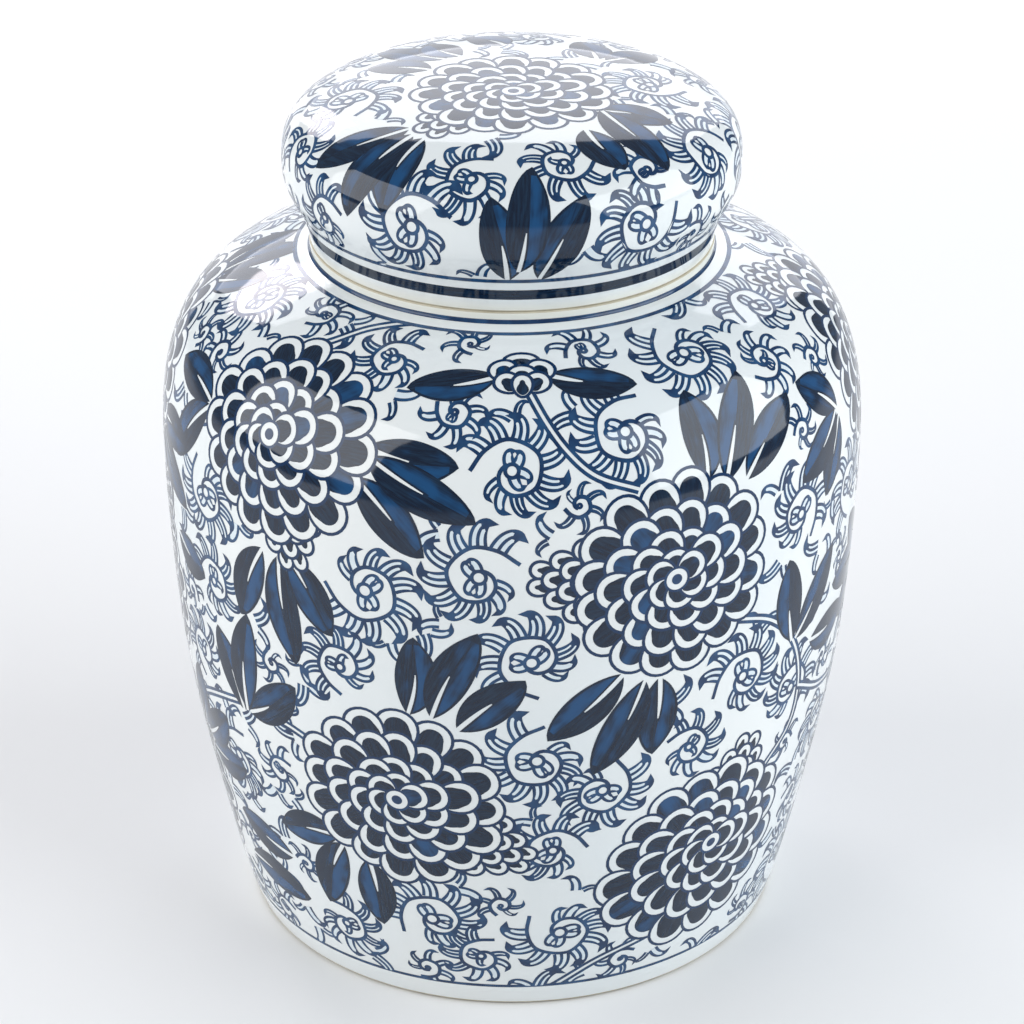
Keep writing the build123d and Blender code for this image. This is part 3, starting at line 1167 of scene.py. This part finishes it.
# rings as (height of the middle, width, tone, shade)
JAR_LINE, NECK_LINE, FOOT_LINE = 203.5, 205.15, 7.85
JAR_RINGS = ((NECK_LINE, 1.3, LINE, 0.4), (JAR_LINE, 1.25, LINE, 0.6), (FOOT_LINE, 1.1, LINE, 0.5))
LID_BAND, LID_LINE = 213.4, 218.1
LID_RINGS = ((LID_BAND, 3.3, FILL, 0.1), (LID_LINE, 1.4, LINE, 0.5))
# how many places are tried for a filler, how many pieces a painting has, and the spacing of its grid
JAR_TRIES, JAR_SECTORS, JAR_GRID = 16000, 8, 2.4
LID_TRIES, LID_SECTORS, LID_GRID = 6000, 4, 1.6


def paint_jar():
    """The painting of the jar and the rings at its neck and foot."""
    painting = Painting(jar)
    for azimuth, height, size, degrees, mirror in FRONT_CURLS:
        add_curl(painting, azimuth, jar.down_to(height), size, degrees, mirror)
    for route in STEMS:
        painting.stem([(azimuth, jar.down_to(height)) for azimuth, height in route])
    for azimuth, height, degrees, length in FRONT_LEAVES:
        add_leaf(painting, azimuth, jar.down_to(height), degrees, length)
    for azimuth, height, *rest in FRONT_FLOWERS + OTHER_FLOWERS:
        add_flower(painting, azimuth, jar.down_to(height), *rest)
    add_bud(painting, BUD_AZIMUTH, jar.down_to(BUD_HEIGHT))
    top, bottom = jar.down_to(JAR_LINE), jar.down_to(FOOT_LINE)
    fill_gaps(painting, top, bottom, JAR_TRIES)
    painting.pieces("jar_painting", JAR_SECTORS, top, bottom, JAR_GRID, "jar", paint)
    bands("jar_bands", jar, JAR_RINGS, "jar", paint)


def paint_lid():
    """The painting of the lid, with its flower near the top, and the two rings above its foot."""
    painting = Painting(lid)
    for azimuth, down, size, degrees, mirror in LID_CURLS:
        add_curl(painting, azimuth, down, size, degrees, mirror)
    for azimuth, down, degrees, length in LID_LEAVES:
        add_leaf(painting, azimuth, down, degrees, length)
    for azimuth in LID_CLUSTERS:
        for off, down, degrees, length in LID_CLUSTER:
            add_leaf(painting, azimuth + off, down, degrees, length)
    drawing = flower(LID_FLOWER_RADIUS, (0.0, 0.0), LID_FLOWER_TAIL, LID_TAIL_START)
    painting.lay(drawing, *unchart(*LID_FLOWER), flat=True)
    for reach, size in ((0, LID_FLOWER_RADIUS), (27, 12), (33, 6)):
        painting.note(*unchart(*polar(reach, LID_FLOWER_TAIL) + LID_FLOWER), size)
    bottom = lid.down_to(LID_LINE)
    fill_gaps(painting, 0, bottom, LID_TRIES)
    painting.pieces("lid_painting", LID_SECTORS, 0, bottom, LID_GRID, "lid", paint)
    bands("lid_bands", lid, LID_RINGS, "lid", paint)


paint_jar()
paint_lid()


# ---- camera, light and floor


CAMERA_LENS = 121.4
CAMERA_PLACE = (0.0, -0.8949, 0.585)
CAMERA_TILT = 27.53
CAMERA_CLIP = (0.05, 50.0)
FLOOR_HALF = 4
FLOOR_DROP = 0.0002
FLOOR_GREY = (0.82, 0.82, 0.82, 1)
FLOOR_ROUGHNESS = 0.9
SKY = (0.9, 0.95, 1.0, 1)
SKY_STRENGTH = 0.30
# softboxes as (name, place, target, width, height, power, colour)
SOFTBOXES = (
    ("back", (0.0, 1.5, 1.02), (0, 0, 0.2), 2.1, 1.0, 16.0, (0.95, 0.95, 1.0)),
    ("back_low", (0.0, 1.72, 0.3), (0, 0, 0.3), 2.3, 0.6, 5.5, (0.95, 0.95, 1.0)),
    ("back_spot", (-0.75, 1.25, 0.95), (0, 0, 0.2), 0.5, 0.4, 3.2, (1.0, 0.93, 0.95)),
    ("left", (-1.25, -0.45, 0.75), (0, 0, 0.12), 1.5, 1.3, 17.0, (1.0, 1.0, 1.0)),
    ("right", (1.25, -0.45, 0.75), (0, 0, 0.12), 1.5, 1.3, 20.0, (0.93, 0.97, 1.0)),
)


def area_light(name, place, target, width, height, power, colour):
    """A softbox that faces its target; it lights the scene and shows only in reflections."""
    data = bpy.data.lights.new(name, "AREA")
    data.shape = "RECTANGLE"
    data.size, data.size_y = width, height
    data.energy = power
    data.color = colour
    obj = put(name, data)
    obj.location = place
    obj.rotation_mode = "QUATERNION"
    obj.rotation_quaternion = (Vector(target) - Vector(place)).to_track_quat("-Z", "Y")
    obj.visible_camera = False


camera = bpy.data.cameras.new("camera")
camera.lens = CAMERA_LENS
camera.clip_start, camera.clip_end = CAMERA_CLIP
camera_obj = put("camera", camera)
camera_obj.location = CAMERA_PLACE
camera_obj.rotation_euler = (math.radians(90 - CAMERA_TILT), 0, 0)
bpy.context.scene.camera = camera_obj

corners = [(-FLOOR_HALF, -FLOOR_HALF, 0), (FLOOR_HALF, -FLOOR_HALF, 0)]
corners += [(FLOOR_HALF, FLOOR_HALF, 0), (-FLOOR_HALF, FLOOR_HALF, 0)]
floor_mesh = bpy.data.meshes.new("floor")
floor_mesh.from_pydata(corners, [], [(0, 1, 2, 3)])
floor_look = Nodes("floor")
floor_look.shader.inputs["Base Color"].default_value = FLOOR_GREY
floor_look.shader.inputs["Roughness"].default_value = FLOOR_ROUGHNESS
floor_mesh.materials.append(floor_look.material)
floor = put("floor", floor_mesh)
floor.location.z = -FLOOR_DROP

world = bpy.data.worlds.new("world")
bpy.context.scene.world = world
world.use_nodes = True
sky = world.node_tree.nodes["Background"]
sky.inputs["Color"].default_value = SKY
sky.inputs["Strength"].default_value = SKY_STRENGTH

for softbox in SOFTBOXES:
    area_light(*softbox)

bpy.context.scene.view_settings.view_transform = "Standard"
